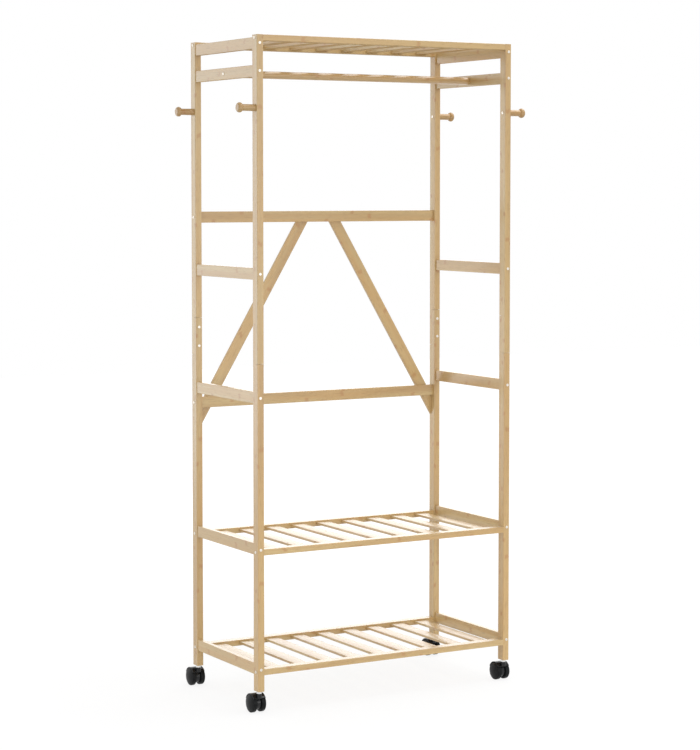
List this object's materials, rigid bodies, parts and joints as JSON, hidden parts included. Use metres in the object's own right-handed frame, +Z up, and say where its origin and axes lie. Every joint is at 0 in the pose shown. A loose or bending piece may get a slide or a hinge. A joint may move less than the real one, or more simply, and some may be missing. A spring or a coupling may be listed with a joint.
{
  "type": "rolling clothes rack",
  "caption": "Tall bamboo clothes rack on swivel casters, with slatted shelves at the top and below, a hanging rod, ladder rails at the sides, a braced back and coat pegs.",
  "frame": {"origin": "on the floor, under the middle of the rack's bounding box", "axes": "+X to the right seen from the front, +Y from the front to the braced back, +Z up"},
  "size_m": [0.832, 0.3926, 1.655],
  "materials": {
    "bamboo": "clear satin lacquer",
    "plated_bolt": "bright zinc",
    "zinc_insert": "zinc",
    "zinc_stem": "bright zinc",
    "axle_steel": "drawn steel",
    "caster_hood": "gloss",
    "caster_wheel": "satin"
  },
  "bodies": {
    "frame": {"left_top_rail": "bamboo", "left_hanging_rail": "bamboo", "left_upper_ladder_rail": "bamboo", "left_lower_ladder_rail": "bamboo", "left_middle_shelf_side_rail": "bamboo", "left_bottom_shelf_side_rail": "bamboo", "right_top_rail": "bamboo", "right_hanging_rail": "bamboo", "right_upper_ladder_rail": "bamboo", "right_lower_ladder_rail": "bamboo", "right_middle_shelf_side_rail": "bamboo", "right_bottom_shelf_side_rail": "bamboo", "top_shelf_slats": "bamboo", "top_shelf_front_rail": "bamboo", "top_shelf_back_rail": "bamboo", "middle_shelf_slats": "bamboo", "middle_shelf_front_rail": "bamboo", "middle_shelf_back_rail": "bamboo", "bottom_shelf_slats": "bamboo", "bottom_shelf_front_rail": "bamboo", "bottom_shelf_back_rail": "bamboo", "left_brace": "bamboo", "right_brace": "bamboo", "upper_back_rail": "bamboo", "lower_back_rail": "bamboo", "hanging_rod": "bamboo", "front_left_peg": "bamboo", "front_left_lower_post": "bamboo", "front_left_upper_post": "bamboo", "back_left_peg": "bamboo", "back_left_lower_post": "bamboo", "back_left_upper_post": "bamboo", "front_right_peg": "bamboo", "front_right_lower_post": "bamboo", "front_right_upper_post": "bamboo", "back_right_peg": "bamboo", "back_right_lower_post": "bamboo", "back_right_upper_post": "bamboo", "frame_bolts": "plated_bolt", "brace_screws": "plated_bolt", "threaded_inserts": "zinc_insert", "caster_inserts": "zinc_insert", "caster_stems": "zinc_stem"},
    "front_left_swivel": {"front_left_caster_hood": "caster_hood", "front_left_caster_axle": "axle_steel"},
    "front_left_left_wheel": {"front_left_left_wheel": "caster_wheel"},
    "front_left_right_wheel": {"front_left_right_wheel": "caster_wheel"},
    "front_right_swivel": {"front_right_caster_hood": "caster_hood", "front_right_caster_axle": "axle_steel"},
    "front_right_left_wheel": {"front_right_left_wheel": "caster_wheel"},
    "front_right_right_wheel": {"front_right_right_wheel": "caster_wheel"},
    "back_left_swivel": {"back_left_caster_hood": "caster_hood", "back_left_caster_axle": "axle_steel"},
    "back_left_left_wheel": {"back_left_left_wheel": "caster_wheel"},
    "back_left_right_wheel": {"back_left_right_wheel": "caster_wheel"},
    "back_right_swivel": {"back_right_caster_hood": "caster_hood", "back_right_caster_axle": "axle_steel"},
    "back_right_left_wheel": {"back_right_left_wheel": "caster_wheel"},
    "back_right_right_wheel": {"back_right_right_wheel": "caster_wheel"}
  },
  "joints": [
    {"name": "front_left_swivel", "type": "hinge", "parent": "frame", "child": "front_left_swivel", "pos_m": [-0.36, -0.18242, 0.0488], "axis": [0, 0, 1], "continuous": true},
    {"name": "front_left_left_wheel_spin", "type": "hinge", "parent": "front_left_swivel", "child": "front_left_left_wheel", "pos_m": [-0.3736, -0.16542, 0.0225], "axis": [1, 0, 0], "continuous": true},
    {"name": "front_left_right_wheel_spin", "type": "hinge", "parent": "front_left_swivel", "child": "front_left_right_wheel", "pos_m": [-0.3464, -0.16542, 0.0225], "axis": [1, 0, 0], "continuous": true},
    {"name": "front_right_swivel", "type": "hinge", "parent": "frame", "child": "front_right_swivel", "pos_m": [0.36, -0.18242, 0.0488], "axis": [0, 0, 1], "continuous": true},
    {"name": "front_right_left_wheel_spin", "type": "hinge", "parent": "front_right_swivel", "child": "front_right_left_wheel", "pos_m": [0.3464, -0.16542, 0.0225], "axis": [1, 0, 0], "continuous": true},
    {"name": "front_right_right_wheel_spin", "type": "hinge", "parent": "front_right_swivel", "child": "front_right_right_wheel", "pos_m": [0.3736, -0.16542, 0.0225], "axis": [1, 0, 0], "continuous": true},
    {"name": "back_left_swivel", "type": "hinge", "parent": "frame", "child": "back_left_swivel", "pos_m": [-0.36, 0.15658, 0.0488], "axis": [0, 0, 1], "continuous": true},
    {"name": "back_left_left_wheel_spin", "type": "hinge", "parent": "back_left_swivel", "child": "back_left_left_wheel", "pos_m": [-0.3736, 0.17358, 0.0225], "axis": [1, 0, 0], "continuous": true},
    {"name": "back_left_right_wheel_spin", "type": "hinge", "parent": "back_left_swivel", "child": "back_left_right_wheel", "pos_m": [-0.3464, 0.17358, 0.0225], "axis": [1, 0, 0], "continuous": true},
    {"name": "back_right_swivel", "type": "hinge", "parent": "frame", "child": "back_right_swivel", "pos_m": [0.36, 0.15658, 0.0488], "axis": [0, 0, 1], "continuous": true},
    {"name": "back_right_left_wheel_spin", "type": "hinge", "parent": "back_right_swivel", "child": "back_right_left_wheel", "pos_m": [0.3464, 0.17358, 0.0225], "axis": [1, 0, 0], "continuous": true},
    {"name": "back_right_right_wheel_spin", "type": "hinge", "parent": "back_right_swivel", "child": "back_right_right_wheel", "pos_m": [0.3736, 0.17358, 0.0225], "axis": [1, 0, 0], "continuous": true}
  ]
}
